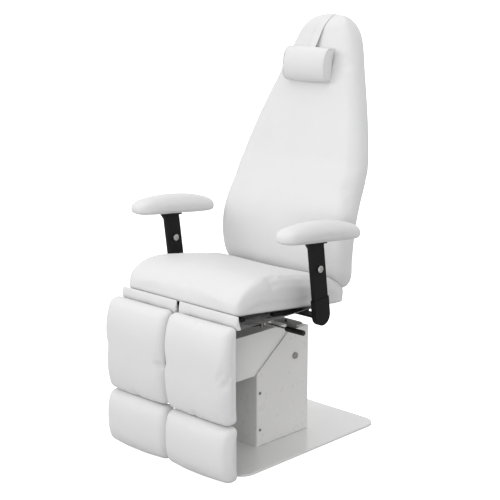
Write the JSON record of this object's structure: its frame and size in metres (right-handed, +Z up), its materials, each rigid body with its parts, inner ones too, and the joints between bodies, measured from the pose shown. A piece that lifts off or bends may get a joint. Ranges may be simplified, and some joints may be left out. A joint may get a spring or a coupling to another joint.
{
  "type": "pedicure chair",
  "caption": "Powered pedicure chair with a tapered reclining backrest, head pillow, fold-back armrests, split leg rests with sliding foot pads and a lifting arm on a flat base plate.",
  "frame": {"origin": "middle of the underside of the base plate, on the floor", "axes": "+Z up; the sitter faces -Y; +X is the sitter's left"},
  "size_m": [0.8, 0.9376, 1.5209],
  "materials": {
    "upholstery_white": "satin",
    "casing_grey": "satin",
    "plate_white": "gloss",
    "arm_white": "satin",
    "black_steel": "matte",
    "grey_steel": "satin",
    "plated_steel": "polished",
    "brushed": "brushed",
    "bronze": "satin",
    "grip_black": "matte",
    "motor_black": "matte",
    "plywood": "matte",
    "strap_elastic": "woven"
  },
  "bodies": {
    "base": {"base_plate": "plate_white", "casing_front_panel": "casing_grey", "casing_rear_panel": "casing_grey", "casing_side_panel_left": "casing_grey", "casing_side_panel_right": "casing_grey", "fasteners": "plated_steel", "pedestal_plates": "grey_steel", "lift_shaft": "plated_steel", "link_pin": "plated_steel", "actuator_mount": "grey_steel"},
    "lift_arm": {"arm_bars": "grey_steel", "arm_side_covers": "arm_white", "arm_top_cover": "arm_white", "arm_cross_members": "grey_steel"},
    "level_link": {"level_link": "grey_steel"},
    "actuator_body": {"actuator_tube": "motor_black", "actuator_motor": "motor_black"},
    "actuator_rod": {"actuator_rod": "plated_steel"},
    "seat": {"carrier_plates": "grey_steel", "front_pivot_pins": "plated_steel", "seat_beams": "black_steel", "seat_rails": "black_steel", "seat_cross_members": "black_steel", "seat_board": "plywood", "seat_cushion": "upholstery_white", "recline_brackets": "black_steel", "leg_hinge_lugs": "black_steel", "armrest_brackets": "black_steel", "lever_bracket": "brushed", "lever_bush": "bronze"},
    "lever": {"release_lever": "plated_steel", "lever_grip": "grip_black"},
    "backrest": {"backrest_cushion": "upholstery_white", "backrest_board": "upholstery_white", "backrest_uprights": "black_steel", "backrest_straps": "black_steel", "gas_spring_crank": "black_steel", "pillow_strap": "strap_elastic"},
    "pillow": {"head_pillow": "upholstery_white"},
    "gas_cylinder": {"gas_spring_cylinder": "black_steel"},
    "gas_rod": {"gas_spring_rod": "plated_steel"},
    "leg_left": {"leg_frame_left": "black_steel", "calf_cushion_left": "upholstery_white", "front_flap_left": "upholstery_white"},
    "foot_left": {"foot_slider_left": "black_steel", "foot_cushion_left": "upholstery_white"},
    "armrest_left": {"armrest_sleeve_left": "black_steel"},
    "armpost_left": {"armrest_post_left": "black_steel", "armrest_bolt_left": "plated_steel", "armrest_pad_left": "upholstery_white"},
    "leg_right": {"leg_frame_right": "black_steel", "calf_cushion_right": "upholstery_white", "front_flap_right": "upholstery_white"},
    "foot_right": {"foot_slider_right": "black_steel", "foot_cushion_right": "upholstery_white"},
    "armrest_right": {"armrest_sleeve_right": "black_steel"},
    "armpost_right": {"armrest_post_right": "black_steel", "armrest_bolt_right": "plated_steel", "armrest_pad_right": "upholstery_white"}
  },
  "joints": [
    {"name": "lift", "type": "hinge", "parent": "base", "child": "lift_arm", "pos_m": [0, 0.059, 0.306], "axis": [-1, 0, 0], "range_deg": [0, 32]},
    {"name": "seat_level", "type": "hinge", "parent": "lift_arm", "child": "seat", "pos_m": [0, -0.28, 0.352], "axis": [-1, 0, 0], "range_deg": [-32, 0]},
    {"name": "level_link_pivot", "type": "hinge", "parent": "base", "child": "level_link", "pos_m": [0, 0.059, 0.358], "axis": [-1, 0, 0], "range_deg": [0, 32]},
    {"name": "actuator_foot", "type": "hinge", "parent": "base", "child": "actuator_body", "pos_m": [0, -0.06, 0.062], "axis": [-1, 0, 0], "range_deg": [0, 8.65]},
    {"name": "actuator_stroke", "type": "slide", "parent": "actuator_body", "child": "actuator_rod", "axis": [0, -0.1841, 0.9829], "range_m": [0, 0.0818]},
    {"name": "recline", "type": "hinge", "parent": "seat", "child": "backrest", "pos_m": [0, 0.182, 0.566], "axis": [-1, 0, 0], "range_deg": [0, 60]},
    {"name": "gas_spring_foot", "type": "hinge", "parent": "seat", "child": "gas_cylinder", "pos_m": [0, -0.06, 0.466], "axis": [-1, 0, 0], "range_deg": [-3.39, 0]},
    {"name": "gas_spring_stroke", "type": "slide", "parent": "gas_cylinder", "child": "gas_rod", "axis": [0, 0.9993, 0.0386], "range_m": [-0.0981, 0]},
    {"name": "pillow_height", "type": "slide", "parent": "backrest", "child": "pillow", "axis": [0, 0.3156, 0.9489], "range_m": [-0.09, 0.02]},
    {"name": "release_lever", "type": "hinge", "parent": "seat", "child": "lever", "pos_m": [0.1, -0.082, 0.453], "axis": [0, -1, 0], "range_deg": [0, 10], "stiffness_Nm_per_rad": 6, "springref_deg": -5.73},
    {"name": "leg_rest_left", "type": "hinge", "parent": "seat", "child": "leg_left", "pos_m": [0, -0.392, 0.566], "axis": [-1, 0, 0], "range_deg": [0, 85]},
    {"name": "foot_pad_left", "type": "slide", "parent": "leg_left", "child": "foot_left", "axis": [0, 0, -1], "range_m": [0, 0.12]},
    {"name": "armrest_fold_left", "type": "hinge", "parent": "seat", "child": "armrest_left", "pos_m": [0, -0.072, 0.533], "axis": [-1, 0, 0], "range_deg": [0, 95]},
    {"name": "armrest_height_left", "type": "slide", "parent": "armrest_left", "child": "armpost_left", "axis": [0, -0.1305, 0.9914], "range_m": [0, 0.03]},
    {"name": "leg_rest_right", "type": "hinge", "parent": "seat", "child": "leg_right", "pos_m": [0, -0.392, 0.566], "axis": [-1, 0, 0], "range_deg": [0, 85]},
    {"name": "foot_pad_right", "type": "slide", "parent": "leg_right", "child": "foot_right", "axis": [0, 0, -1], "range_m": [0, 0.12]},
    {"name": "armrest_fold_right", "type": "hinge", "parent": "seat", "child": "armrest_right", "pos_m": [0, -0.072, 0.533], "axis": [-1, 0, 0], "range_deg": [0, 95]},
    {"name": "armrest_height_right", "type": "slide", "parent": "armrest_right", "child": "armpost_right", "axis": [0, -0.1305, 0.9914], "range_m": [0, 0.03]}
  ],
  "couplings": [
    {"joint": "seat_level", "follows": "lift", "ratio": -1},
    {"joint": "level_link_pivot", "follows": "lift", "ratio": 1},
    {"joint": "actuator_foot", "follows": "lift", "ratio": 0.26996},
    {"joint": "actuator_stroke", "follows": "lift", "m_per_rad": 0.14616},
    {"joint": "gas_spring_foot", "follows": "recline", "ratio": -0.0564},
    {"joint": "gas_spring_stroke", "follows": "recline", "m_per_rad": -0.09348}
  ]
}
